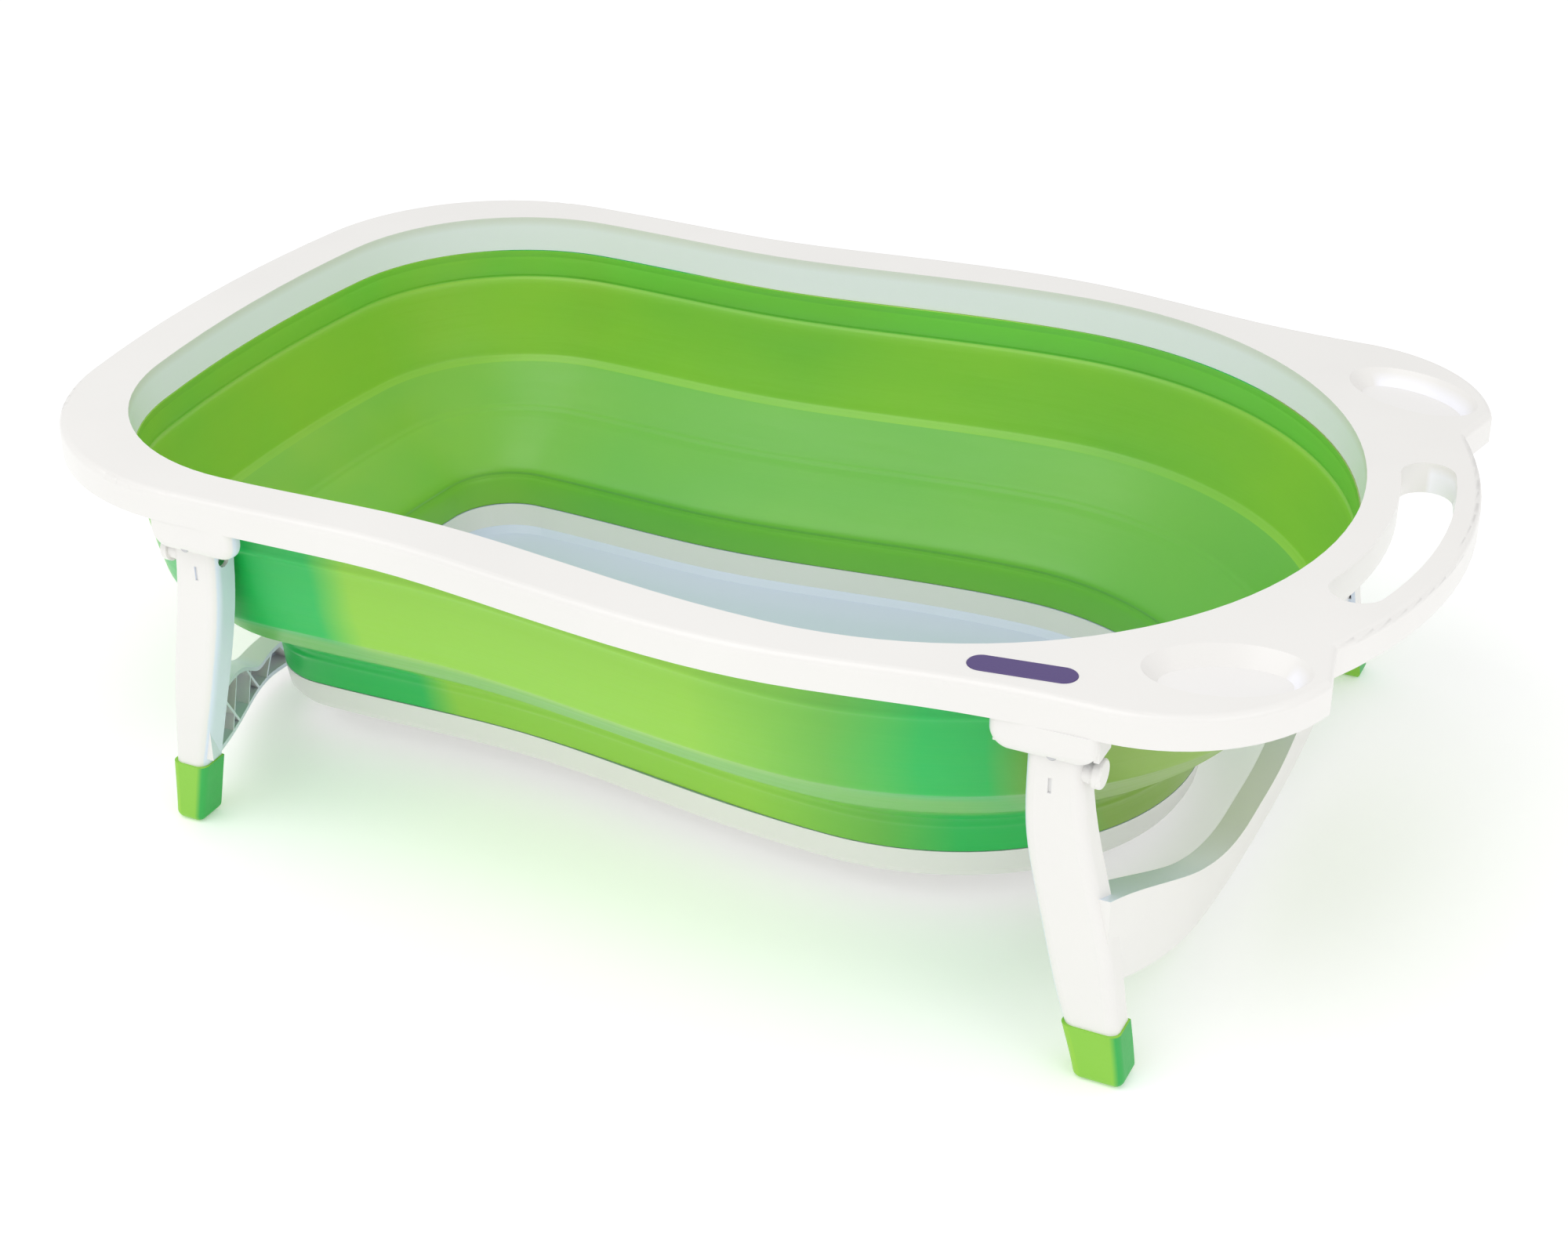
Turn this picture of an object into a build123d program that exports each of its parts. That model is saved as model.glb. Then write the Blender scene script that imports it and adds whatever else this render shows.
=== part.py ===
from build123d import *
from math import atan2, degrees
import os

# Folding baby bathtub: a rigid rim on two folding leg frames, and a soft stepped wall that lets the rigid
# base rise into the rim. Millimetres. +Z is up, +X points to the carrying handle, at the foot end.
# The origin is on the floor, under the middle of the whole tub.

# ---- driving dimensions: the opening in the rim ----
RIM_TOP = 230.0  # height of the rim's top face above the floor
FOOT_CENTRE = 110.0  # centre of the round foot end
FOOT_END = 353.0
FOOT_HALF_WIDTH = 242.0
WAIST_X = -110.0
WAIST_HALF_WIDTH = 221.0
HEAD_END = -380.0
HEAD_HALF_WIDTH = 225.0
HEAD_CORNER = 132.0  # corner radius
CROWN = 900.0  # radius of the slightly bulged head end
SMALLEST_CORNER = 45.0
HEAD_SHARE = 0.87  # part of a side's inset that the head end gets
FOOT_SHARE = 0.9

# ---- rim ----
PLATE = 3.2
SKIRT = 2.5
SKIRT_DEPTH = 19.0
COLLAR = 2.6
COLLAR_DEPTH = 24.0
EDGE_ROUND = 4.0
RIM_HEAD = -417.0
RIM_CORNER = (-264.0, 110.0, 145.0)  # centre x, centre y, radius
HANDLE_RADIUS = 307.0  # outside of the carrying handle, about the foot centre
HANDLE_ANGLE = 27.1
SLOT_RADIUS = 277.5
SLOT_WIDTH = 31.0
SLOT_ANGLE = 16.0
DISH_CENTRE = (340.0, 187.0)
DISH_SIZE = (43.0, 27.0)
DISH_TURN = 22.0
DISH_DEPTH = 9.0
BADGE_CENTRE = (248.0, -231.0)
BADGE_SIZE = (57.0, 16.0)
BADGE_TURN = 8.0

# ---- soft wall and base: (depth under the rim's top, inset from the opening) at each bend, outside ----
WALL_BENDS = [(24.0, -1.0), (44.0, -1.0), (100.0, 14.0), (129.0, 41.0), (161.0, 83.0), (183.7, 86.0)]
WALL_THICKNESS = 2.6
BASE_BENDS = [(184.0, 86.0), (198.0, 88.0), (203.0, 91.0), (206.0, 96.0)]
BASE_THICKNESS = 3.0
DRAIN_X = 200.0
DRAIN_RADIUS = 14.0

# ---- leg frames: x outwards from the pin line, z up from it ----
PIVOT = {"head": -251.0, "foot": 272.0}
PIVOT_DEPTH = 34.0
LEG_IN = 228.5  # the legs' inner and outer faces, from the middle of the tub
LEG_OUT = 246.5
LEG_SKIN = 2.6
LEG_ROUND = 6.0
KNUCKLE = 15.0
LEG_END = -190.0
SOLE = PIVOT_DEPTH - RIM_TOP
LEG_OUTWARD = {
    "head": [(25, -80), (32.5, -147), (36, LEG_END)],
    "foot": [(24, -66), (36, -116), (43, -160), (48, LEG_END)],
}
LEG_INWARD = {
    "head": [(19, LEG_END), (11, -153), (-7, -73)],
    "foot": [(22, LEG_END), (14, -166), (-4, -99), (-14, -50)],
}
CAP_TOP = {"head": -155.0, "foot": -163.0}
CAP_SKIN = 1.2
CAP_ROUND = 5.0

# ---- braces: curves from mid-span to the legs, seen from the front (y, z) and from above (x, y) ----
BRACE_END = 243.0
BRACE_UPPER = {
    "head": [(115, -161), (140, -161), (150, -124), (BRACE_END, -116)],
    "foot": [(20, -160), (90, -160), (150, -116), (BRACE_END, -82)],
}
BRACE_LOWER = {
    "head": [(BRACE_END, -150), (165, -166), (110, -185), (20, -185)],
    "foot": [(BRACE_END, -134), (170, -171), (90, -180), (20, -180)],
}
BRACE_INNER = {
    "head": [(66, 93), (64, 130), (30, 175), (6, BRACE_END)],
    "foot": [(30.5, 110), (30, 150), (20, 190), (12, BRACE_END)],
}
BRACE_OUTER = {
    "head": [(28, BRACE_END), (48, 195), (80, 145), (82, 93)],
    "foot": [(34, BRACE_END), (37, 200), (46, 160), (46, 110)],
}
BRACE_BULGE = {"head": 2.0, "foot": 0.8}
BRACE_SKIN = 2.8
RIB = 2.0

# ---- hinges and locks ----
PIN = 3.0
RUN = 0.05  # radial room of a running fit
GAP = 0.3  # room between faces that pass each other
BIB_OUT = {"head": 254.6, "foot": 250.8}
BIB = (-35.0, 24.0, -4.0)  # inward end, outward end, lower edge
BIB_ROUND = 12.0
CHEEK_IN = 226.4
CHEEK_TOP = 9.4  # the inner cheek ends under the rim's collar
ROOF = (24.0, 27.0)
SCREW = 1.6
SCREW_HEAD = 3.0
SCREW_X = 29.5
SCREW_Y = (232.5, 240.5)
BUTTON = 8.2
BUTTON_FACE = 24.6
BUTTON_CAP = 4.6
BUTTON_SHAFT = 6.5
SHAFT_LENGTH = 14.0
BUTTON_Y = (LEG_IN + LEG_OUT) / 2
BUTTON_Z = -11.0
CUP = (-6.0, -4.0, 15.5)  # back, floor and mouth
STEM = 2.5
COLLAR_ROOM = 5.0  # radius left free for the collar on the stem
WIRE = 0.45

ENDS = {"head": -1, "foot": 1}
SIDES = {"left": 1, "right": -1}


def height(depth):
    """Height above the floor of a depth under the rim's top."""
    return RIM_TOP - depth


def closed_face(half_edges, z):
    """Face at height z bounded by edges on the +Y side and their mirror image."""
    other = [mirror(edge, about=Plane.XZ) for edge in half_edges]
    return Pos(0, 0, z) * make_face([*half_edges, *other])


def ring(inset, depth):
    """The tub's outline at a depth under the rim's top, drawn in from the rim's opening by inset."""
    head = HEAD_END + HEAD_SHARE * inset
    foot_length = FOOT_END - FOOT_CENTRE - FOOT_SHARE * inset
    foot_half = FOOT_HALF_WIDTH - inset
    side = HEAD_HALF_WIDTH - inset
    corner = max(HEAD_CORNER - inset, SMALLEST_CORNER)
    rise = side - corner
    crown_x = head + CROWN
    corner_x = crown_x - ((CROWN - corner) ** 2 - rise**2) ** 0.5
    lean = degrees(atan2(rise, crown_x - corner_x))
    bends = [(FOOT_CENTRE, foot_half), (WAIST_X, WAIST_HALF_WIDTH - inset), (corner_x, side)]
    edges = [
        EllipticalCenterArc((FOOT_CENTRE, 0), foot_length, foot_half, 0, arc_size=90),
        Spline(*bends, tangents=[(-1, 0), (-1, 0)]),
        CenterArc((corner_x, rise), corner, 90, 90 - lean),
        CenterArc((crown_x, 0), CROWN, 180 - lean, lean),
    ]
    return closed_face(edges, height(depth))


def tub_solid(bends):
    """Closed solid through the outlines of a list of (depth, inset)."""
    return loft([ring(inset, depth) for depth, inset in bends], ruled=True)


def plate(face, depth_from, depth_to):
    """A flat outline made solid between two depths under the rim's top."""
    flat = Pos(0, 0, height(depth_to) - face.center().Z) * face
    return extrude(flat, depth_to - depth_from, dir=(0, 0, 1))


def tube(radius, length):
    """Cylinder from the origin up."""
    return Cylinder(radius, length, align=(Align.CENTER, Align.CENTER, Align.MIN))


def along_x(radius, start, end, y=0.0, z=0.0):
    """Cylinder along X."""
    return Pos(start, y, z) * Rot(0, 90, 0) * tube(radius, end - start)


def along_y(radius, start, end, x=0.0, z=0.0):
    """Cylinder along Y."""
    return Pos(x, start, z) * Rot(-90, 0, 0) * tube(radius, end - start)


def block(x, y, z):
    """Box between pairs of limits."""
    size = Box(x[1] - x[0], y[1] - y[0], z[1] - z[0], align=Align.MIN)
    return Pos(x[0], y[0], z[0]) * size


def at_end(shape, end):
    """A shape drawn about the pin line, set in place at one end of the tub."""
    turned = shape if end == "foot" else mirror(shape, about=Plane.YZ)
    return Pos(PIVOT[end], 0, height(PIVOT_DEPTH)) * turned


def at_corner(shape, end, side):
    """A shape drawn for the left foot corner, set in place at any corner."""
    turned = shape if side == "left" else mirror(shape, about=Plane.XZ)
    return at_end(turned, end)


# ---------------------------------------------------------------- rim
def rim_outline(inset):
    """Outside of the rim in plan, drawn in by inset: round head, sides, two tray corners and the handle."""
    corner_x, corner_y, corner = RIM_CORNER
    crown_x = RIM_HEAD + CROWN
    lean = degrees(atan2(corner_y, crown_x - corner_x))
    radius = corner - inset
    handle = CenterArc((FOOT_CENTRE, 0), HANDLE_RADIUS - inset, 0, HANDLE_ANGLE)
    tray_start = (300, 250 - inset)
    tray_end = (391 - inset, 176)
    tray = ThreePointArc(tray_start, (364 - 0.7 * inset, 222 - 0.7 * inset), tray_end)
    side = [(corner_x, corner_y + radius), (-110, 253 - inset), (112, 271 - inset), (232, 253 - inset), tray_start]
    edges = [
        handle,
        Line(handle @ 1, tray_end),
        tray,
        Spline(*reversed(side), tangents=[(-1, 0), (-1, 0)]),
        CenterArc((corner_x, corner_y), radius, 90, 90 - lean),
    ]
    touch = edges[-1] @ 1
    edges.append(ThreePointArc(touch, (RIM_HEAD + inset, 0), (touch.X, -touch.Y)))
    return edges


def rim_face(inset):
    """The rim's outline as a face at the height of its top."""
    edges = rim_outline(inset)
    other = [mirror(edge, about=Plane.XZ) for edge in edges[:-1]]
    return Pos(0, 0, RIM_TOP) * make_face([*edges, *other])


def slot_face(width):
    """The bean-shaped hand hole inside the carrying handle."""
    arc = CenterArc((FOOT_CENTRE, 0), SLOT_RADIUS, -SLOT_ANGLE, 2 * SLOT_ANGLE)
    return Pos(0, 0, RIM_TOP) * SlotArc(arc, width)


def dish(side, grow, depth):
    """A shallow elliptical bowl set in the rim's top at a tray corner."""
    long_half, short_half = DISH_SIZE[0] + grow, DISH_SIZE[1] + grow
    place = Pos(DISH_CENTRE[0], side * DISH_CENTRE[1], RIM_TOP) * Rot(0, 0, -side * DISH_TURN)
    top = place * Ellipse(long_half, short_half)
    floor = place * Pos(0, 0, -depth) * Ellipse(long_half - 9, short_half - 9)
    return loft([top, floor])


def badge(grow, thickness, proud):
    """Pill-shaped plate on the rim's top, beside the tray."""
    length, width = BADGE_SIZE
    pill = SlotOverall(length + 2 * grow, width + 2 * grow)
    place = Pos(*BADGE_CENTRE, RIM_TOP + proud - thickness) * Rot(0, 0, BADGE_TURN)
    return place * extrude(pill, thickness)


def rim_frame():
    """Top plate, skirt, collar round the opening, handle bar, tray bowls and the pads for the brackets."""
    body = extrude(rim_face(0), SKIRT_DEPTH, dir=(0, 0, -1))
    body = fillet(body.faces().sort_by(Axis.Z)[-1].edges(), EDGE_ROUND)
    hollow = plate(rim_face(SKIRT), PLATE, SKIRT_DEPTH + 1)
    hollow -= plate(ring(-COLLAR, 0), 0, SKIRT_DEPTH + 2)
    hollow -= plate(slot_face(SLOT_WIDTH + 2 * SKIRT), 0, SKIRT_DEPTH + 2)
    grip = Pos(FOOT_CENTRE, 0) * (Circle(HANDLE_RADIUS) - Circle(SLOT_RADIUS + SLOT_WIDTH / 2 - 1))
    grip = grip & Pos(400, 0) * Rectangle(100, 270)
    hollow -= Pos(0, 0, height(2 * SKIRT_DEPTH)) * extrude(grip, 2 * SKIRT_DEPTH)
    for side in SIDES.values():
        hollow -= dish(side, 3, DISH_DEPTH + 3)
    for end in ENDS:
        for side in SIDES:
            pad = block((-20, 36), (230, 243), (ROOF[1], PIVOT_DEPTH - PLATE))
            for y in SCREW_Y:
                pad -= Pos(SCREW_X, y, ROOF[1]) * tube(SCREW + RUN, PIVOT_DEPTH - PLATE - ROOF[1])
            hollow -= at_corner(pad, end, side)
    body -= hollow
    collar = loft([ring(-COLLAR, SKIRT_DEPTH - 1), ring(1 - COLLAR, COLLAR_DEPTH)], ruled=True)
    body += collar
    body -= loft([ring(0, -1), ring(1, COLLAR_DEPTH + 0.5)], ruled=True)
    body -= plate(slot_face(SLOT_WIDTH), -1, SKIRT_DEPTH + 1)
    for side in SIDES.values():
        body -= dish(side, 0, DISH_DEPTH)
    body -= badge(0.1, 1.0, 0)
    return body


def badge_plate():
    """Plain pill-shaped plate, sunk in the rim."""
    body = badge(0, 1.4, 0.4)
    return chamfer(body.faces().sort_by(Axis.Z)[-1].edges(), 0.3)


# ---------------------------------------------------------------- soft wall and base
def tub_wall():
    """Soft stepped wall between the rim's collar and the base."""
    inside = [(depth - 1.2, inset + WALL_THICKNESS) for depth, inset in WALL_BENDS]
    inside[0] = (WALL_BENDS[0][0] - 1, inside[0][1])
    inside[-1] = (WALL_BENDS[-1][0] + 1, inside[-1][1])
    return tub_solid(WALL_BENDS) - tub_solid(inside)


def tub_base():
    """Rigid pan with a rounded bottom edge and the drain hole."""
    inside = [(183.0, 89.0), (199.0, 91.5), (203.0, 96.0)]
    body = tub_solid(BASE_BENDS) - tub_solid(inside)
    return body - Pos(DRAIN_X, 0, 0) * tube(DRAIN_RADIUS, 60)


def drain_seal():
    """Rubber sleeve with a flange, lining the drain hole."""
    floor = height(203.0)
    body = Pos(DRAIN_X, 0, floor - BASE_THICKNESS) * tube(DRAIN_RADIUS, BASE_THICKNESS)
    body += Pos(DRAIN_X, 0, floor) * tube(DRAIN_RADIUS + 4, 1.4)
    return body - Pos(DRAIN_X, 0, 0) * tube(DRAIN_RADIUS - 2, 60)


def drain_plug():
    """Plug with a wide cap and a finger knob."""
    seat = height(203.0) + 1.4
    body = Pos(DRAIN_X, 0, seat - 4) * tube(DRAIN_RADIUS - 2 - RUN, 4)
    cap = Pos(DRAIN_X, 0, seat) * tube(DRAIN_RADIUS + 3, 3)
    body += fillet(cap.faces().sort_by(Axis.Z)[-1].edges(), 1.2)
    knob = Pos(DRAIN_X, 0, seat + 3) * tube(5, 7)
    return body + fillet(knob.faces().sort_by(Axis.Z)[-1].edges(), 2)


# ---------------------------------------------------------------- leg frames
def leg_face(end, inset, bottom=LEG_END):
    """Side view of a leg, drawn in by inset: round knuckle at the pin, curving outwards to the floor."""
    top = KNUCKLE - inset
    outer = [(x - inset, z) for x, z in LEG_OUTWARD[end]]
    inner = [(x + inset, z) for x, z in LEG_INWARD[end]]
    outer[-1] = (outer[-1][0], bottom)
    inner[0] = (inner[0][0], bottom)
    edges = [
        ThreePointArc((-top, 0), (0, top), (top, 0)),
        Spline((top, 0), *outer, tangents=[(0, -1), (0.1, -1)]),
        Line(outer[-1], inner[0]),
        Spline(*inner, (-top, 0), tangents=[(-0.2, 1), (0, 1)]),
    ]
    return Plane.XZ * make_face(edges)


def leg_slice(face, near, far):
    """A side view made solid between two distances from the middle of the tub."""
    return Pos(0, far, 0) * extrude(face, far - near, dir=(0, -1, 0))


def leg_blank(end):
    """A leg's outer shape, rounded all round its outer face."""
    full = leg_slice(leg_face(end, 0), LEG_IN, LEG_OUT)
    return fillet(full.faces().sort_by(Axis.Y)[-1].edges(), LEG_ROUND)


def leg(end):
    """One leg: a channel open towards the middle of the tub, with ribs, a pin boss and a button cup."""
    full = leg_blank(end)
    pocket = leg_slice(leg_face(end, LEG_SKIN, LEG_END + LEG_SKIN), LEG_IN - 1, LEG_OUT - LEG_ROUND)
    for z in range(-176, -40, 18):
        pocket -= block((-30, 60), (LEG_IN - 1, LEG_OUT), (z, z + RIB))
    pocket -= along_y(PIN + 4, LEG_IN, LEG_OUT)
    pocket -= along_x(LEG_OUT - BUTTON_Y, CUP[0], CUP[2], BUTTON_Y, BUTTON_Z)
    body = full - pocket
    body -= along_x(BUTTON_SHAFT + RUN, CUP[1], CUP[2] + 10, BUTTON_Y, BUTTON_Z)
    body -= along_x(STEM + RUN, CUP[0] - 9, CUP[1], BUTTON_Y, BUTTON_Z)
    body -= along_x(COLLAR_ROOM, CUP[0] - 9, CUP[0], BUTTON_Y, BUTTON_Z)
    body -= block((-2, 0), (LEG_OUT - 1.2, LEG_OUT + 1), (-24, -15))
    return body - along_y(PIN + RUN, LEG_IN - 1, LEG_OUT + 1)


def brace_band(end, shrink):
    """Front view of a brace: level in the middle, sweeping up to the legs; shrink draws it in."""
    upper = Bezier(*[(y, z - shrink) for y, z in BRACE_UPPER[end]])
    lower = Bezier(*[(y, z + shrink) for y, z in BRACE_LOWER[end]])
    start, finish = upper @ 0, lower @ 1
    half = [Line((0, start.Y), start), upper, Line(upper @ 1, lower @ 0), lower, Line(finish, (0, finish.Y))]
    other = [mirror(edge, about=Plane.YZ) for edge in half]
    return extrude(Plane.YZ * make_face([*half, *other]), 120, dir=(1, 0, 0))


def brace_sweep(end, inward, skin):
    """Top view of a brace: bowed outwards from the legs, moved in on its inner and its outer side."""
    inner = Bezier(*[(x - inward, y) for x, y in BRACE_INNER[end]])
    outer = Bezier(*[(x - skin, y) for x, y in BRACE_OUTER[end]])
    half = [inner, outer, Line(inner @ 1, outer @ 0)]
    other = [mirror(edge, about=Plane.XZ) for edge in half]
    middle = []
    for point in (inner @ 0, outer @ 1):
        middle.append(ThreePointArc((point.X, point.Y), (point.X + BRACE_BULGE[end], 0), (point.X, -point.Y)))
    return Pos(0, 0, SOLE) * extrude(make_face([*half, *other, *middle]), -SOLE, dir=(0, 0, 1))


def brace(end):
    """Brace between the two legs of a frame: outer skin, two flanges and zigzag ribs in between."""
    full = brace_band(end, 0) & brace_sweep(end, 0, 0)
    pocket = brace_band(end, BRACE_SKIN) & brace_sweep(end, 20, BRACE_SKIN)
    pocket &= block((0, 100), (4 - LEG_IN, LEG_IN - 4), (SOLE, -60))
    middle = (BRACE_UPPER[end][0][1] + BRACE_LOWER[end][-1][1]) / 2
    for index, y in enumerate(range(-204, 205, 24)):
        lift = 0.3 * (abs(y) / LEG_IN) ** 2 * (BRACE_UPPER[end][-1][1] - BRACE_UPPER[end][0][1])
        lean = 40 if index % 2 else -40
        pocket -= Pos(50, y, middle + lift) * Rot(lean, 0, 0) * Box(100, RIB, 110)
    return full - pocket


def leg_frame(end):
    """Two legs and their brace in one moulding."""
    one = leg(end)
    return brace(end) + one + mirror(one, about=Plane.XZ)


def foot_cap(end):
    """Soft foot over a leg's lower end, with a rounded sole."""
    shell = leg_slice(leg_face(end, -CAP_SKIN, SOLE), LEG_IN - CAP_SKIN, LEG_OUT + CAP_SKIN)
    shell &= block((-60, 80), (200, 260), (SOLE - 1, CAP_TOP[end]))
    outer = shell.faces().sort_by(Axis.Y)[-1].edges().filter_by(lambda e: e.center().Z < CAP_TOP[end] - 1)
    under = shell.edges().filter_by(lambda e: e.center().Z < SOLE + 0.1)
    shell = fillet(list(set(outer) | set(under)), CAP_ROUND)
    return shell - leg_blank(end)


# ---------------------------------------------------------------- brackets, pins, locks
def bracket(end):
    """Hinge bracket: outer and inner cheek, a stop wall, a roof and a screwed tongue."""
    out = BIB_OUT[end]
    inward, outward, low = BIB
    skirt = PIVOT_DEPTH - SKIRT_DEPTH
    body = block((inward, outward), (CHEEK_IN, out), (low, skirt))
    body = fillet(body.edges().filter_by(Axis.Y).group_by(Axis.Z)[0], BIB_ROUND)
    corner = body.edges().filter_by(Axis.Z).sort_by(lambda e: e.center().X + e.center().Y)[-1]
    body = fillet(corner, 7)
    body -= block((inward - 1, outward - 3), (LEG_IN - GAP, LEG_OUT + GAP), (low - 1, skirt + 1))
    body -= block((inward - 1, outward + 1), (CHEEK_IN - 1, LEG_IN), (CHEEK_TOP, skirt + 1))
    body -= block((inward - 1, -12), (CHEEK_IN - 1, LEG_IN), (low - 1, skirt + 1))
    body -= block((outward - 6, outward + 1), (CHEEK_IN - 1, LEG_OUT - 2), (low - 1, 0))
    body += block((inward + 3, 14), (LEG_OUT + GAP, LEG_OUT + 1), (0, ROOF[1]))
    body += block((-20, outward), (LEG_IN + GAP, LEG_OUT), ROOF)
    body += block((-20, 14), (LEG_OUT - 1, LEG_OUT + 1), ROOF)
    body += block((outward - 3, outward), (LEG_IN + GAP, LEG_OUT), (0, ROOF[1]))
    body += block((outward, 36), (229, 243), ROOF)
    for y in SCREW_Y:
        body -= Pos(SCREW_X, y, ROOF[0] - 1) * tube(SCREW + RUN, 5)
    return body - along_y(PIN + 0.02, CHEEK_IN - 1, out - 1.2)


def hinge_pin(end):
    """Pin through both cheeks and the leg."""
    pin = along_y(PIN, CHEEK_IN, BIB_OUT[end] - 1.3)
    return chamfer(pin.edges(), 0.4)


def bracket_screw(y):
    """Pan head screw, head down, up through a bracket's tongue into the rim."""
    body = Pos(SCREW_X, y, ROOF[0]) * tube(SCREW, 6.5)
    cap = Pos(SCREW_X, y, ROOF[0] - 2) * tube(SCREW_HEAD, 2)
    body += fillet(cap.faces().sort_by(Axis.Z)[0].edges(), 0.8)
    return body - Pos(SCREW_X, y, ROOF[0] - 2.1) * Box(0.8, 4, 2)


def lock_button():
    """Push button on the outward face of a leg: broad cap, shaft, stem and a collar behind the cup."""
    cap_back = BUTTON_FACE - BUTTON_CAP
    cap = along_x(BUTTON, cap_back, BUTTON_FACE, BUTTON_Y, BUTTON_Z)
    cap = fillet(cap.faces().sort_by(Axis.X)[-1].edges(), 1.6)
    shaft = along_x(BUTTON_SHAFT, cap_back - SHAFT_LENGTH, cap_back, BUTTON_Y, BUTTON_Z)
    stem = along_x(STEM, CUP[0] - 0.2, cap_back - SHAFT_LENGTH, BUTTON_Y, BUTTON_Z)
    collar = along_x(STEM + 1.8, CUP[0] - 2.6, CUP[0] - 0.2, BUTTON_Y, BUTTON_Z)
    return cap + shaft + stem + collar


def lock_spring():
    """Coil spring round a button's stem, in the bottom of the cup."""
    path = Helix(pitch=1.3, height=4.6, radius=4.6)
    start = Plane(path @ 0, z_dir=path % 0)
    coil = sweep(start * Circle(WIRE), path, is_frenet=True)
    return Pos(CUP[1] + 0.6, BUTTON_Y, BUTTON_Z) * Rot(0, 90, 0) * coil


def main():
    os.makedirs("parts", exist_ok=True)
    nodes = {
        "rim_frame": rim_frame(),
        "tub_wall": tub_wall(),
        "tub_base": tub_base(),
        "drain_seal": drain_seal(),
        "drain_plug": drain_plug(),
        "badge_plate": badge_plate(),
    }
    screws = []
    for end in ENDS:
        nodes[f"{end}_leg_frame"] = at_end(leg_frame(end), end)
        for side in SIDES:
            name = f"{end}_{side}"
            nodes[f"foot_cap_{name}"] = at_corner(foot_cap(end), end, side)
            nodes[f"bracket_{name}"] = at_corner(bracket(end), end, side)
            nodes[f"hinge_pin_{name}"] = at_corner(hinge_pin(end), end, side)
            nodes[f"lock_button_{name}"] = at_corner(lock_button(), end, side)
            nodes[f"lock_spring_{name}"] = at_corner(lock_spring(), end, side)
            screws += [at_corner(bracket_screw(y), end, side) for y in SCREW_Y]
    nodes["bracket_screws"] = Compound(children=screws)
    for name, shape in nodes.items():
        export_step(shape, f"parts/{name}.step")


main()
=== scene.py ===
from math import atan2, cos, pi, radians, sin, sqrt

import bmesh
import bpy
from bpy.props import FloatProperty, FloatVectorProperty, IntProperty, PointerProperty
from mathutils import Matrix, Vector


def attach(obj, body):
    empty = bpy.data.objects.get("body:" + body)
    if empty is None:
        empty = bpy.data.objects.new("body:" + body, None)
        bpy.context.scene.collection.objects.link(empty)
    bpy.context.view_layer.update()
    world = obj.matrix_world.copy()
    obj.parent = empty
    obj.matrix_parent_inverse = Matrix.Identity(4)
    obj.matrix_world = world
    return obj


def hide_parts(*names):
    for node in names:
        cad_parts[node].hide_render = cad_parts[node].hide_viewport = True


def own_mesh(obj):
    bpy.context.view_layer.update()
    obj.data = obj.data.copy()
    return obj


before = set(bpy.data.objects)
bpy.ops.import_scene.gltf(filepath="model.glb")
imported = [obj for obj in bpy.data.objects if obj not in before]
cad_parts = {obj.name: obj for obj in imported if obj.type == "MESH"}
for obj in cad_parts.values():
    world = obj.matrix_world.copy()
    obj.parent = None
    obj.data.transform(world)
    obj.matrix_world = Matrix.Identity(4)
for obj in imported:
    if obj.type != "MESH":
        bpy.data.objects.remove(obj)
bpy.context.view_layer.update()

bl_info = {
    "name": "Folding Baby Bathtub",
    "version": (1, 0, 0),
    "blender": (4, 5, 0),
    "location": "View3D > Sidebar > Bathtub",
    "description": "Soft stepped wall, finishes, floor, lights and camera for a folding baby bathtub",
    "category": "Object",
}

MM = 0.001
RIM_TOP = 0.230

# The opening in the rim, in metres, as the frame has it
FOOT_CENTRE = 0.110
FOOT_END = 0.353
FOOT_HALF_WIDTH = 0.242
WAIST_X = -0.110
WAIST_HALF_WIDTH = 0.221
HEAD_END = -0.380
HEAD_HALF_WIDTH = 0.225
HEAD_CORNER = 0.132
CROWN = 0.900
SMALLEST_CORNER = 0.045
HEAD_SHARE = 0.87
FOOT_SHARE = 0.9

# Depths under the rim's top where the inside of the wall changes band, and where it can fold
WALL_EDGES = (0.044, 0.101, 0.129, 0.162)

# Outside of the soft wall from top to bottom: depth under the rim's top and inset from its opening, in mm
WALL_BENDS = (
    (24.3, -0.6), (27.0, -0.6), (29.0, -1.0), (31.0, -0.6), (40.0, -0.4), (43.0, -1.0), (45.0, -0.9),
    (47.5, 0.8), (58.0, 2.5), (80.0, 7.0), (94.0, 11.0), (98.0, 12.0), (100.5, 13.0), (103.0, 16.5),
    (114.0, 27.5), (125.0, 37.5), (128.0, 40.0), (129.5, 42.5), (134.0, 49.0), (146.0, 66.0),
    (156.0, 79.0), (159.5, 82.3), (162.0, 83.0), (164.5, 82.8), (167.0, 84.2), (176.0, 85.5), (183.5, 86.2),
)
BEAD_HALF = 0.0009  # half the height of a bead
BEAD_SHARE = 0.6  # how much of a bead shows on the inside

# Shares of the outline's points on the round foot end, a side and a head corner; the crown gets the rest
FOOT_POINTS = 0.34
SIDE_POINTS = 0.34
CORNER_POINTS = 0.2

CAMERA_PLACE = (0.6376, -1.3172, 0.89565)
KEY_PLACE = (-0.6, -1.2, 2.4)
FILL_PLACE = (2.2, -0.8, 1.4)
AIM = (0, 0, 0.12)
FLOOR_HALF = 6
SKY_STRENGTH = 0.76
FLOOR_GLOW = 0.22

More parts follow.
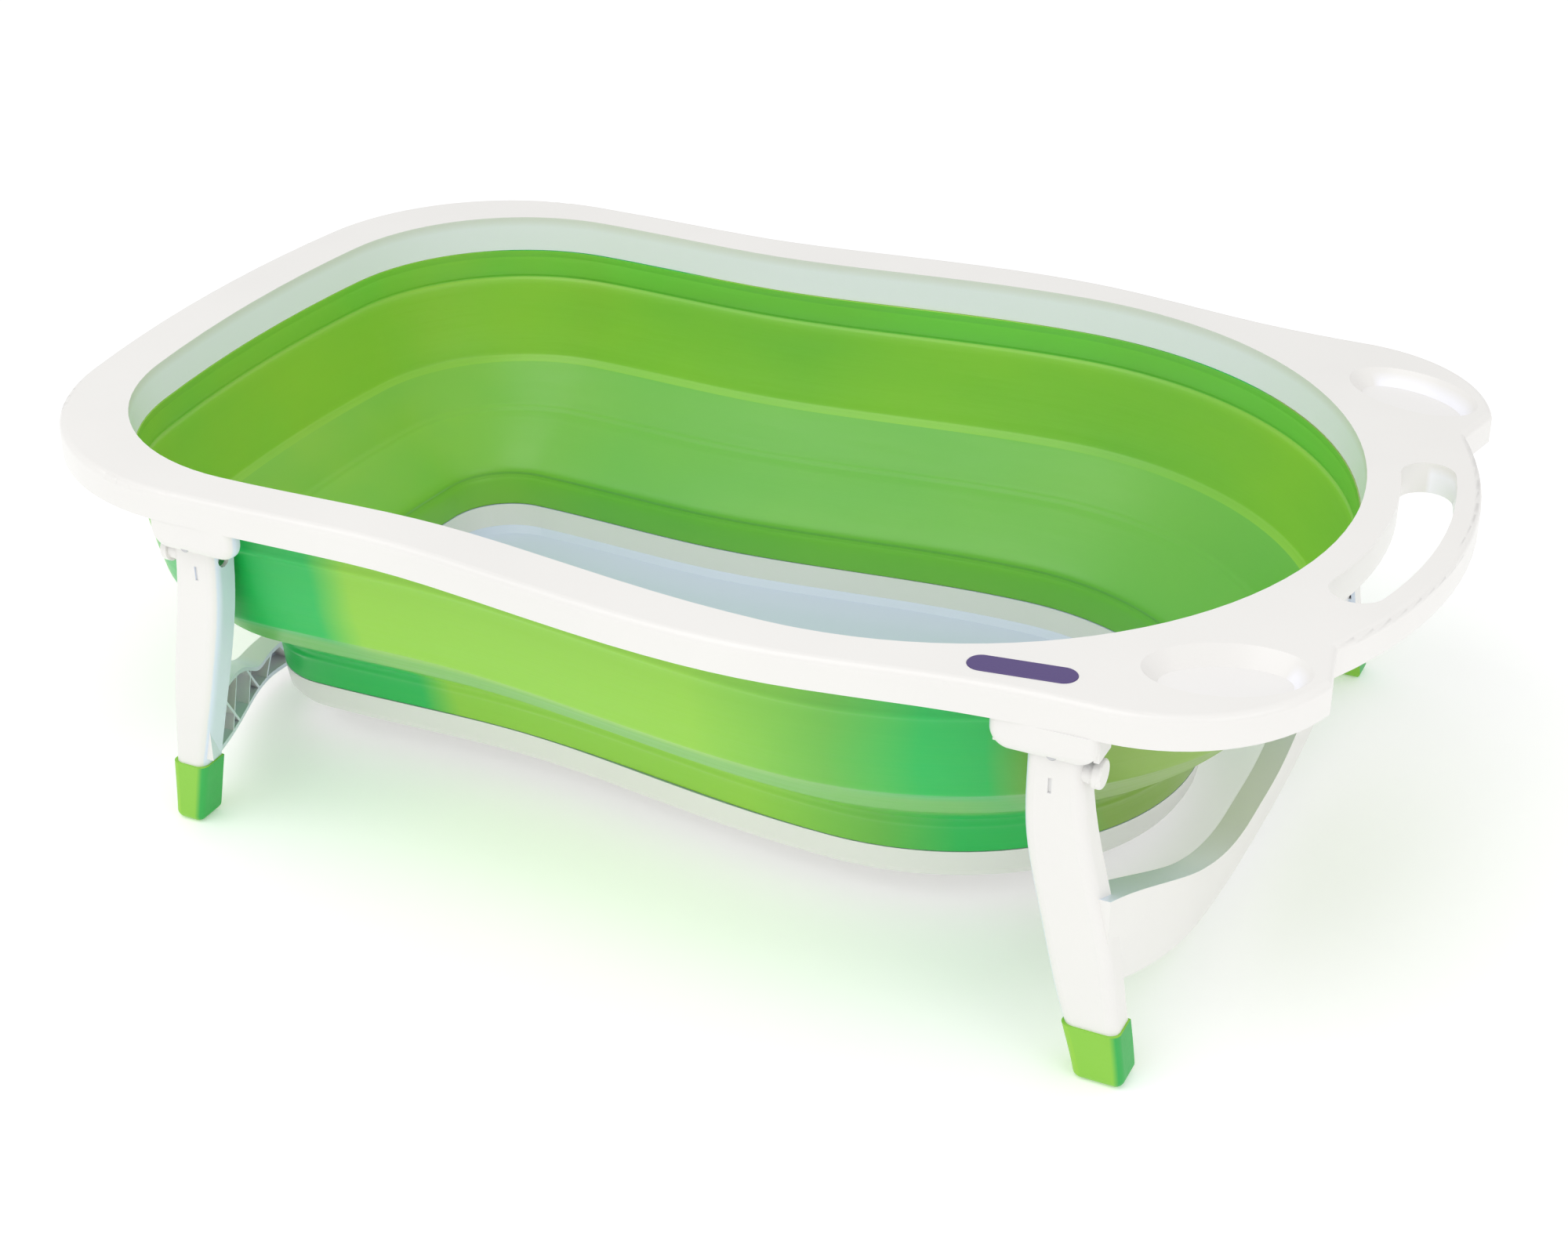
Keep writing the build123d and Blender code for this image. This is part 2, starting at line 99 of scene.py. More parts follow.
# Painted light and shade along the outside of the soft wall: greens from the head end at 0 to the foot end at
# 1
OUTER_GREENS = (
    (0.0, "lime"), (0.08, "lime"), (0.11, "emerald"), (0.275, "emerald"), (0.305, "lime"), (0.58, "lime"),
    (0.68, "leaf"), (0.74, "emerald"), (0.785, "emerald"), (0.82, "olive"), (1.0, "olive"),
)
OUTER_REACH = (-0.375, 0.425)
OUTER_WANDER = 0.05

HEAD_GLOW = (0.36, 0.58, 0.04)  # painted yellow glow of light through the soft wall at the head end


# ---------------------------------------------------------------- sizes and colours
class TubWallSettings(bpy.types.PropertyGroup):
    thickness: FloatProperty(
        name="Thickness", description="Thickness of the soft wall", default=0.0024, unit="LENGTH"
    )
    bead: FloatProperty(
        name="Bead", description="How far the moulded beads stand out", default=0.0012, unit="LENGTH"
    )
    stations: IntProperty(
        name="Stations", description="Points round half of each outline", default=112, min=40, max=200
    )
    collapsed: FloatProperty(
        name="Collapsed height", description="Share of its height the wall keeps when folded", default=0.094
    )


class TubColours(bpy.types.PropertyGroup):
    white: FloatVectorProperty(
        name="Frame white", description="Warm white of rim and legs", subtype="COLOR", size=3,
        default=(0.88, 0.865, 0.84),
    )
    # Painted shade: pale blue where the white rim's collar and trays lie in shade.
    collar: FloatVectorProperty(
        name="Collar white", description="Cool white round the opening and in the trays",
        subtype="COLOR", size=3,
        default=(0.95, 0.95, 1.0),
    )
    # Painted shade: pale blue where the white legs, braces and brackets face inward, in shade.
    leg_shade: FloatVectorProperty(
        name="Shaded white", description="Cooler white inside the legs and braces", subtype="COLOR", size=3,
        default=(0.72, 0.80, 0.93),
    )
    # Painted shade: pale blue on the up-facing floor of the white pan.
    pan: FloatVectorProperty(
        name="Pan white", description="Cooler white of the pan's floor", subtype="COLOR", size=3,
        default=(0.62, 0.69, 0.83),
    )
    # Lime and leaf are one green painted lit and shaded: lime for the lit upper band inside the wall, leaf
    # for the shaded bands below it.
    lime: FloatVectorProperty(
        name="Lime", description="Lit green of the soft wall", subtype="COLOR", size=3,
        default=(0.30, 0.63, 0.045),
    )
    leaf: FloatVectorProperty(
        name="Leaf", description="Deeper green of the soft wall", subtype="COLOR", size=3,
        default=(0.14, 0.49, 0.055),
    )
    # Painted light and shade: emerald is laid where the outside of the wall turns at its ends.
    emerald: FloatVectorProperty(
        name="Emerald", description="Cool green where the wall turns", subtype="COLOR", size=3,
        default=(0.0, 0.50, 0.09),
    )
    grip: FloatVectorProperty(
        name="Foot green", description="Green of the foot caps", subtype="COLOR", size=3,
        default=(0.03, 0.46, 0.08),
    )
    # Painted light and shade: olive is laid on the outside round the foot end.
    olive: FloatVectorProperty(
        name="Olive", description="Muted green round the foot end", subtype="COLOR", size=3,
        default=(0.26, 0.43, 0.07),
    )
    badge: FloatVectorProperty(
        name="Badge purple", description="Purple of the badge plate", subtype="COLOR", size=3,
        default=(0.07, 0.035, 0.19),
    )


class StageSettings(bpy.types.PropertyGroup):
    azimuth: FloatProperty(
        name="Azimuth", description="View direction round the tub", default=radians(25.632), subtype="ANGLE",
    )
    elevation: FloatProperty(
        name="Elevation", description="View direction above the horizon", default=radians(29.203),
        subtype="ANGLE",
    )
    focal: FloatProperty(name="Focal length", description="Camera lens in millimetres", default=61.2)
    key_power: FloatProperty(
        name="Key power", description="Power of the main soft light", default=22.0, unit="POWER",
    )


# ---------------------------------------------------------------- shapes
def new_piece(name, bm, materials=()):
    """A finished object at the origin from a bmesh."""
    mesh = bpy.data.meshes.new(name)
    bm.to_mesh(mesh)
    bm.free()
    piece = bpy.data.objects.new(name, mesh)
    bpy.context.scene.collection.objects.link(piece)
    for material in materials:
        mesh.materials.append(material)
    return piece


def clamped_slope(y0, y1, y2, step0, step1):
    """Slope in the middle of a smooth curve that is level at both ends."""
    return 1.5 * (step1 * (y1 - y0) / step0 + step0 * (y2 - y1) / step1) / (step0 + step1)


def hermite(y0, y1, slope0, slope1, step, t):
    """Cubic from y0 to y1 with the given end slopes."""
    a = 2 * t**3 - 3 * t**2 + 1
    b = t**3 - 2 * t**2 + t
    c = -2 * t**3 + 3 * t**2
    d = t**3 - t**2
    return a * y0 + b * step * slope0 + c * y1 + d * step * slope1


def half_outline(inset, stations):
    """Points of the tub's outline on the +Y side, foot end to head end, drawn in from the rim's opening."""
    head = HEAD_END + HEAD_SHARE * inset
    foot_length = FOOT_END - FOOT_CENTRE - FOOT_SHARE * inset
    foot_half = FOOT_HALF_WIDTH - inset
    waist = WAIST_HALF_WIDTH - inset
    side = HEAD_HALF_WIDTH - inset
    corner = max(HEAD_CORNER - inset, SMALLEST_CORNER)
    rise = side - corner
    crown_x = head + CROWN
    corner_x = crown_x - sqrt((CROWN - corner) ** 2 - rise**2)
    lean = atan2(rise, crown_x - corner_x)
    step0 = FOOT_CENTRE - WAIST_X
    step1 = WAIST_X - corner_x
    slope = clamped_slope(foot_half, waist, side, step0, step1)
    foot_count = round(stations * FOOT_POINTS)
    side_count = round(stations * SIDE_POINTS)
    corner_count = round(stations * CORNER_POINTS)
    crown_count = stations - foot_count - side_count - corner_count
    points = []
    for index in range(foot_count):
        turn = 0.5 * pi * index / foot_count
        points.append((FOOT_CENTRE + foot_length * cos(turn), foot_half * sin(turn)))
    for index in range(side_count):
        x = FOOT_CENTRE - (FOOT_CENTRE - corner_x) * index / side_count
        if x > WAIST_X:
            y = hermite(foot_half, waist, 0, slope, step0, (FOOT_CENTRE - x) / step0)
        else:
            y = hermite(waist, side, slope, 0, step1, (WAIST_X - x) / step1)
        points.append((x, y))
    for index in range(corner_count):
        turn = 0.5 * pi + (0.5 * pi - lean) * index / corner_count
        points.append((corner_x + corner * cos(turn), rise + corner * sin(turn)))
    for index in range(crown_count + 1):
        turn = pi - lean + lean * index / crown_count
        points.append((crown_x + CROWN * cos(turn), CROWN * sin(turn)))
    return points


def outline(inset, stations):
    """The whole closed outline, foot end first, round by the +Y side."""
    half = half_outline(inset, stations)
    return half + [(x, -y) for x, y in reversed(half[1:-1])]


def loft_rings(bm, profile, stations):
    """Extrude one ring of the tub through a closed profile of (depth, inset, band), and join its ends."""
    station = bm.verts.layers.int.new("station")
    depth, inset, _ = profile[0]
    ring = [bm.verts.new((x, y, RIM_TOP - depth)) for x, y in outline(inset, stations)]
    for index, vert in enumerate(ring):
        vert[station] = index
    edges = [bm.edges.new((a, b)) for a, b in zip(ring, ring[1:] + ring[:1])]
    first_edges = edges
    for depth, inset, band in profile[1:]:
        made = bmesh.ops.extrude_edge_only(bm, edges=edges)["geom"]
        edges = [item for item in made if isinstance(item, bmesh.types.BMEdge)]
        places = outline(inset, stations)
        for item in made:
            if isinstance(item, bmesh.types.BMVert):
                x, y = places[item[station]]
                item.co = (x, y, RIM_TOP - depth)
            if isinstance(item, bmesh.types.BMFace):
                item.material_index = band
        edges = [edge for edge in edges if all(len(v.link_faces) <= 2 for v in edge.verts)]
    joined = bmesh.ops.bridge_loops(bm, edges=first_edges + edges)["faces"]
    for face in joined:
        face.material_index = profile[0][2]
    bmesh.ops.recalc_face_normals(bm, faces=bm.faces)


def eased(points, rounds):
    """Corner-cut a run of (depth, inset) points, keeping its ends."""
    for _ in range(rounds):
        cut = [points[0]]
        for (d0, i0), (d1, i1) in zip(points, points[1:]):
            cut.append((0.75 * d0 + 0.25 * d1, 0.75 * i0 + 0.25 * i1))
            cut.append((0.25 * d0 + 0.75 * d1, 0.25 * i0 + 0.75 * i1))
        cut.append(points[-1])
        points = cut
    return points


def wall_profile(thickness, bead):
    """Closed profile of the soft wall: down the outside, up the inside, as (depth, inset, band)."""
    outside = eased([(depth * MM, inset * MM) for depth, inset in WALL_BENDS], 2)
    inside = []
    for (d0, i0), (d1, i1) in zip(outside, outside[1:]):
        slope = Vector((d1 - d0, i1 - i0)).normalized()
        middle = Vector(((d0 + d1) / 2, (i0 + i1) / 2))
        inside.append(middle + thickness * Vector((-slope.y, slope.x)))
    top, bottom = outside[0][0], outside[-1][0]
    inside = [Vector((top, inside[0].y)), *inside, Vector((bottom, inside[-1].y))]
    profile = [(depth, inset, 0) for depth, inset in outside]
    for depth, inset in reversed([tuple(point) for point in inside]):
        groove = bead * sum(1 for edge in WALL_EDGES if abs(depth - edge) < BEAD_HALF)
        profile.append((depth, inset - groove * BEAD_SHARE, inner_band(depth)))
    return profile


def inner_band(depth):
    """Which inside band, of one green painted lit and shaded, a depth under the rim's top has."""
    if depth < WALL_EDGES[0]:
        return 5
    if depth < WALL_EDGES[1]:
        return 1
    if depth < WALL_EDGES[2]:
        return 2
    return 3 if depth < WALL_EDGES[3] else 4


# ---------------------------------------------------------------- materials
def start_material(name, rough):
    """A material with a Principled shader, and its node tree."""
    material = bpy.data.materials.new(name)
    material.use_nodes = True
    shader = material.node_tree.nodes["Principled BSDF"]
    shader.inputs["Roughness"].default_value = rough
    return material, material.node_tree, shader


def noise(tree, scale, detail=3.0, stretch=(1, 1, 1)):
    """Noise on object coordinates."""
    place = tree.nodes.new("ShaderNodeTexCoord")
    mapping = tree.nodes.new("ShaderNodeMapping")
    mapping.inputs["Scale"].default_value = stretch
    texture = tree.nodes.new("ShaderNodeTexNoise")
    texture.inputs["Scale"].default_value = scale
    texture.inputs["Detail"].default_value = detail
    tree.links.new(place.outputs["Object"], mapping.inputs["Vector"])
    tree.links.new(mapping.outputs["Vector"], texture.inputs["Vector"])
    return texture


def spread(tree, value, low, high):
    """Map a 0 to 1 value to a range."""
    node = tree.nodes.new("ShaderNodeMapRange")
    node.inputs["To Min"].default_value = low
    node.inputs["To Max"].default_value = high
    tree.links.new(value, node.inputs["Value"])
    return node.outputs["Result"]


def spread_from(tree, value, low, high):
    """Map a range to 0 to 1."""
    node = tree.nodes.new("ShaderNodeMapRange")
    node.inputs["From Min"].default_value = low
    node.inputs["From Max"].default_value = high
    tree.links.new(value, node.inputs["Value"])
    return node.outputs["Result"]


def mixed(tree, factor, first, second):
    """Colour between two colours."""
    node = tree.nodes.new("ShaderNodeMix")
    node.data_type = "RGBA"
    for key, value in (("A", first), ("B", second)):
        socket = next(s for s in node.inputs if s.name == key and s.type == "RGBA")
        if isinstance(value, bpy.types.NodeSocket):
            tree.links.new(value, socket)
        else:
            socket.default_value = (*value, 1)
    tree.links.new(factor, node.inputs["Factor"])
    return next(s for s in node.outputs if s.type == "RGBA")


def bump(tree, shader, height, distance, strength=1.0):
    """Relief from a height value."""
    node = tree.nodes.new("ShaderNodeBump")
    node.inputs["Distance"].default_value = distance
    node.inputs["Strength"].default_value = strength
    tree.links.new(height, node.inputs["Height"])
    tree.links.new(node.outputs["Normal"], shader.inputs["Normal"])


def along(tree, socket, axis, low, high):
    """0 to 1 as a piece's own position or normal goes from low to high along an axis."""
    place = tree.nodes.new("ShaderNodeTexCoord")
    split = tree.nodes.new("ShaderNodeSeparateXYZ")
    tree.links.new(place.outputs[socket], split.inputs["Vector"])
    return spread_from(tree, split.outputs[axis], low, high)


def inward(tree):
    """1 where a surface does not face away from the middle of the tub; painted shade goes there."""
    place = tree.nodes.new("ShaderNodeTexCoord")
    flat = tree.nodes.new("ShaderNodeVectorMath")
    flat.operation = "MULTIPLY"
    flat.inputs[1].default_value = (1, 1, 0)
    dot = tree.nodes.new("ShaderNodeVectorMath")
    dot.operation = "DOT_PRODUCT"
    tree.links.new(place.outputs["Object"], flat.inputs[0])
    tree.links.new(flat.outputs["Vector"], dot.inputs[0])
    tree.links.new(place.outputs["Normal"], dot.inputs[1])
    return spread_from(tree, dot.outputs["Value"], 0.01, -0.06)


def both(tree, first, second):
    """Product of two values."""
    node = tree.nodes.new("ShaderNodeMath")
    node.operation = "MULTIPLY"
    tree.links.new(first, node.inputs[0])
    tree.links.new(second, node.inputs[1])
    return node.outputs["Value"]


def collar_and_tray_shade(tree):
    """Where the rim gets painted shade: 1 on the collar, less in the trays, 0 on the rim's top and skirt."""
    lower = along(tree, "Object", "Z", RIM_TOP - 0.002, RIM_TOP - 0.007)
    return both(tree, lower, inward(tree))


def facing_up(tree):
    """1 where a surface faces up."""
    return along(tree, "Normal", "Z", 0.2, 0.7)


def moulded(name, colour, rough=0.32, shade=0.93, grain=900.0, depth=0.00004, coat=0.15, painted_shade=None):
    """Moulded plastic: slow shade drift, fine grain, uneven gloss and a thin clear skin.

    painted_shade is (colour, where): colour is painted shade laid over the plastic, and where makes the 0 to
    1 value that brings it in.
    """
    material, tree, shader = start_material(name, rough)
    drift = noise(tree, 9.0, 2.0)
    darker = tuple(shade * c for c in colour)
    base = mixed(tree, drift.outputs["Fac"], darker, colour)
    # Painted shade: the shade colour laid over the plastic's colour where the mask is 1.
    if painted_shade:
        base = mixed(tree, painted_shade[1](tree), base, painted_shade[0])
    tree.links.new(base, shader.inputs["Base Color"])
    wear = noise(tree, 60.0, 5.0)
    uneven = spread(tree, wear.outputs["Fac"], rough - 0.07, rough + 0.07)
    tree.links.new(uneven, shader.inputs["Roughness"])
    bump(tree, shader, noise(tree, grain).outputs["Fac"], depth)
    shader.inputs["Coat Weight"].default_value = coat
    shader.inputs["Coat Roughness"].default_value = 0.18
    material.diffuse_color = (*colour, 1)
    return material


def light_within(shader):
    """Green light inside the soft wall, under a thin gloss."""
    shader.inputs["Subsurface Weight"].default_value = 0.2
    shader.inputs["Subsurface Radius"].default_value = (0.6, 1.0, 0.25)
    shader.inputs["Subsurface Scale"].default_value = 0.006
    shader.inputs["Coat Weight"].default_value = 0.12
    shader.inputs["Coat Roughness"].default_value = 0.25


def soft_skin(name, colour, other, rough=0.38, scale=5.0):
    """Soft elastomer: two greens that drift into each other, a painted yellow glow towards the head end, and
    faint flow lines along the wall.
    """
    material, tree, shader = start_material(name, rough)
    drift = noise(tree, scale, 2.0, (1, 1, 2.5))
    green = mixed(tree, spread(tree, drift.outputs["Fac"], -0.4, 1.4), colour, other)
    # Painted light: a patchy yellow glow towards the head end.
    head_end = along(tree, "Object", "X", -0.20, -0.34)
    glow = spread(tree, both(tree, head_end, noise(tree, 14.0, 2.0).outputs["Fac"]), 0.0, 0.7)
    tree.links.new(mixed(tree, glow, green, HEAD_GLOW), shader.inputs["Base Color"])
    flow = noise(tree, 30.0, 6.0, (0.6, 0.6, 9))
    tree.links.new(spread(tree, flow.outputs["Fac"], rough - 0.08, rough + 0.12), shader.inputs["Roughness"])
    bump(tree, shader, flow.outputs["Fac"], 0.0003, 0.5)
    light_within(shader)
    material.diffuse_color = (*colour, 1)
    return material


def grip_skin(name, colour, lit):
    """Soft grippy elastomer: deep green with painted light, paler on the side that faces the head end, fine
    matt grain.
    """
    material, tree, shader = start_material(name, 0.45)
    # Painted light: the side facing the head end goes to the lit green.
    lit_side = along(tree, "Normal", "X", 0.6, -0.1)
    patch = noise(tree, 45.0, 3.0)
    deep = mixed(tree, patch.outputs["Fac"], tuple(0.85 * c for c in colour), colour)
    tree.links.new(mixed(tree, lit_side, deep, lit), shader.inputs["Base Color"])
    rubbed = noise(tree, 120.0, 4.0)
    tree.links.new(spread(tree, rubbed.outputs["Fac"], 0.38, 0.56), shader.inputs["Roughness"])
    bump(tree, shader, noise(tree, 700.0).outputs["Fac"], 0.0001)
    shader.inputs["Coat Weight"].default_value = 0.05
    return material


def outer_skin(colours):
    """Outside of the soft wall: painted light and shade, lime along the sides and emerald where the ends
    begin to turn, with painted shade on the ledge under the fold.
    """
    material, tree, shader = start_material("soft_wall_outside", 0.3)
    place = tree.nodes.new("ShaderNodeTexCoord")
    split = tree.nodes.new("ShaderNodeSeparateXYZ")
    tree.links.new(place.outputs["Object"], split.inputs["Vector"])
    wander = noise(tree, 7.0, 2.0)
    add = tree.nodes.new("ShaderNodeMath")
    add.operation = "MULTIPLY_ADD"
    add.inputs[1].default_value = OUTER_WANDER
    tree.links.new(wander.outputs["Fac"], add.inputs[0])
    tree.links.new(split.outputs["X"], add.inputs[2])
    # Painted light and shade: greens along the wall's length stand in for how light falls on its outside.
    ramp = tree.nodes.new("ShaderNodeValToRGB")
    tree.links.new(spread_from(tree, add.outputs["Value"], *OUTER_REACH), ramp.inputs["Fac"])
    stops = ramp.color_ramp.elements
    lime, leaf = tuple(colours.lime), tuple(colours.leaf)
    while len(stops) < len(OUTER_GREENS):
        stops.new(1.0)
    for stop, (position, green) in zip(stops, OUTER_GREENS):
        stop.position = position
        stop.color = (*getattr(colours, green), 1)
    flow = noise(tree, 26.0, 6.0, (0.5, 0.5, 10))
    streaked = mixed(tree, spread(tree, flow.outputs["Fac"], 0.0, 0.06), ramp.outputs["Color"], lime)
    # Painted shade: the sloping ledge under the fold goes towards the leaf green, short of the foot end.
    slope = along(tree, "Object", "Z", RIM_TOP - 0.152, RIM_TOP - 0.140)
    ledge = along(tree, "Object", "Z", RIM_TOP - 0.103, RIM_TOP - 0.112)
    before_foot = along(tree, "Object", "X", 0.26, 0.20)
    ledge_shade = spread(tree, both(tree, before_foot, both(tree, slope, ledge)), 0.0, 0.8)
    tree.links.new(mixed(tree, ledge_shade, streaked, leaf), shader.inputs["Base Color"])
    tree.links.new(spread(tree, flow.outputs["Fac"], 0.26, 0.46), shader.inputs["Roughness"])
    bump(tree, shader, flow.outputs["Fac"], 0.0004, 0.5)
    light_within(shader)
    return material


def metal(name, colour, rough, streaks):
    """Plated steel with drawn streaks."""
    material, tree, shader = start_material(name, rough)
    shader.inputs["Metallic"].default_value = 1.0
    lines = noise(tree, streaks, 4.0, (1, 6, 6))
    darker = tuple(0.75 * c for c in colour)
    tree.links.new(mixed(tree, lines.outputs["Fac"], darker, colour), shader.inputs["Base Color"])
    tree.links.new(spread(tree, lines.outputs["Fac"], rough - 0.08, rough + 0.12), shader.inputs["Roughness"])
    bump(tree, shader, lines.outputs["Fac"], 0.00003)
    return material


def finish_nodes(material, names):
    """Give CAD nodes a finish."""
    for name in names:
        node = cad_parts[name]
        node.data.materials.clear()
        node.data.materials.append(material)


def nodes_like(*starts):
    """CAD nodes whose names start with one of these."""
    return [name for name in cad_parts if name.startswith(starts)]


# ---------------------------------------------------------------- operators
class BATHTUB_OT_soft_wall(bpy.types.Operator):
    """Build the soft stepped wall between the rim and the pan"""

    bl_idname = "bathtub.soft_wall"
    bl_label = "Soft Wall"

    def execute(self, context):
        wall = context.scene.tub_wall_settings
        colours = context.scene.tub_colours
        lime, leaf = tuple(colours.lime), tuple(colours.leaf)
        middle = tuple(0.35 * a + 0.65 * b for a, b in zip(lime, leaf))
        # Painted light: the top band, in the rim's shadow, gets the leaf green lightened.
        hem_painted_light = tuple(1.35 * c for c in leaf)
        bm = bmesh.new()
        loft_rings(bm, wall_profile(wall.thickness, wall.bead), wall.stations)
        # The inside bands are one green painted lit and shaded: lime on the lit upper band, leaf on the
        # shaded bands below it.
        materials = [
            outer_skin(colours),
            soft_skin("soft_wall_lit_band", lime, middle),
            soft_skin("soft_wall_shaded_band", leaf, middle),
            soft_skin("soft_wall_slope", leaf, middle),
            soft_skin("soft_wall_foot", leaf, middle),
            soft_skin("soft_wall_hem", hem_painted_light, middle),
        ]
        piece = new_piece("soft_wall", bm, materials)
        piece.data.shade_smooth()
        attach(piece, "rim")
        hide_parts("tub_wall")
        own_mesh(piece)
        return {"FINISHED"}


class BATHTUB_OT_white_plastic(bpy.types.Operator):
    """Finish the rim, the leg frames, the brackets and the lock buttons"""

    bl_idname = "bathtub.white_plastic"
    bl_label = "White Plastic"

    def execute(self, context):
        colours = context.scene.tub_colours
        white = tuple(colours.white)
        leg_shade = tuple(colours.leg_shade)
        collar = tuple(colours.collar)
        # Painted shade: pale blue laid over the white on the rim's collar and in its trays.
        finish_nodes(moulded("rim_white", white, painted_shade=(collar, collar_and_tray_shade)), ["rim_frame"])
        legs = nodes_like("head_leg", "foot_leg", "bracket_foot", "bracket_head")
        # Painted shade: pale blue laid over the white on the inward faces of legs, braces and brackets.
        finish_nodes(moulded("leg_white", white, rough=0.36, painted_shade=(leg_shade, inward)), legs)
        finish_nodes(moulded("button_white", white, rough=0.28, grain=1500.0), nodes_like("lock_button"))
        return {"FINISHED"}


class BATHTUB_OT_pan(bpy.types.Operator):
    """Finish the rigid pan, its drain seal and its plug"""

    bl_idname = "bathtub.pan"
    bl_label = "Pan and Drain"

    def execute(self, context):
        colours = context.scene.tub_colours
        # Painted shade: pale blue laid over the white where the pan faces up.
        pan_floor_shade = (tuple(colours.pan), facing_up)
        white = tuple(colours.white)
        pan = moulded("pan_white", white, rough=0.38, grain=500.0, depth=0.00006, painted_shade=pan_floor_shade)
        finish_nodes(pan, ["tub_base"])
        finish_nodes(moulded("drain_rubber", (0.12, 0.125, 0.13), rough=0.6, coat=0.0), ["drain_seal"])
        finish_nodes(moulded("plug_green", tuple(colours.grip), rough=0.4), ["drain_plug"])
        return {"FINISHED"}


class BATHTUB_OT_foot_caps(bpy.types.Operator):
    """Finish the soft foot caps"""

    bl_idname = "bathtub.foot_caps"
    bl_label = "Foot Caps"

    def execute(self, context):
        colours = context.scene.tub_colours
        green = grip_skin("foot_cap_green", tuple(colours.grip), tuple(colours.lime))
        finish_nodes(green, nodes_like("foot_cap"))
        return {"FINISHED"}


class BATHTUB_OT_hardware(bpy.types.Operator):
    """Finish the pins, screws and springs"""

    bl_idname = "bathtub.hardware"
    bl_label = "Pins, Screws and Springs"

    def execute(self, context):
        finish_nodes(metal("pin_steel", (0.62, 0.62, 0.64), 0.3, 200.0), nodes_like("hinge_pin"))
        finish_nodes(metal("screw_zinc", (0.66, 0.65, 0.6), 0.35, 400.0), ["bracket_screws"])
        finish_nodes(metal("spring_wire", (0.5, 0.5, 0.52), 0.28, 600.0), nodes_like("lock_spring"))
        return {"FINISHED"}


class BATHTUB_OT_badge(bpy.types.Operator):
    """Finish the plain badge plate"""

    bl_idname = "bathtub.badge"
    bl_label = "Badge Plate"

    def execute(self, context):
        colour = tuple(context.scene.tub_colours.badge)
        purple = moulded("badge_purple", colour, rough=0.3, shade=0.85, coat=0.15)
        finish_nodes(purple, ["badge_plate"])
        return {"FINISHED"}


class BATHTUB_OT_stage(bpy.types.Operator):
    """Set the pale floor, the soft lights and the camera"""

    bl_idname = "bathtub.stage"
    bl_label = "Stage"

    def execute(self, context):
        stage = context.scene.tub_stage
        bm = bmesh.new()
        bmesh.ops.create_grid(bm, x_segments=1, y_segments=1, size=FLOOR_HALF)
        floor_white, tree, shader = start_material("floor_white", 0.9)
        shade = mixed(tree, noise(tree, 0.8).outputs["Fac"], (0.93, 0.93, 0.935), (0.95, 0.95, 0.95))
        tree.links.new(shade, shader.inputs["Base Color"])
        shader.inputs["Emission Color"].default_value = (1, 1, 1, 1)
        shader.inputs["Emission Strength"].default_value = FLOOR_GLOW
        new_piece("floor", bm, [floor_white])
        context.scene.view_settings.view_transform = "Standard"
        add_world()
        add_light("key", KEY_PLACE, 2.2, stage.key_power)
        add_light("fill", FILL_PLACE, 1.6, 0.35 * stage.key_power)
        add_camera(stage)
        return {"FINISHED"}


def add_world():
    """Even pale light from all round."""
    world = bpy.data.worlds.new("studio")
    world.use_nodes = True
    background = world.node_tree.nodes["Background"]
    background.inputs["Color"].default_value = (1, 1, 1, 1)
    background.inputs["Strength"].default_value = SKY_STRENGTH
    bpy.context.scene.world = world


def add_light(name, place, size, power):
    """Square soft light aimed at the tub."""
    light = bpy.data.lights.new(name, "AREA")
    light.shape = "SQUARE"
    light.size = size
    light.energy = power
    lamp = bpy.data.objects.new(name, light)
    lamp.location = place
    lamp.rotation_euler = (Vector(place) - Vector(AIM)).to_track_quat("Z", "Y").to_euler()
    bpy.context.scene.collection.objects.link(lamp)


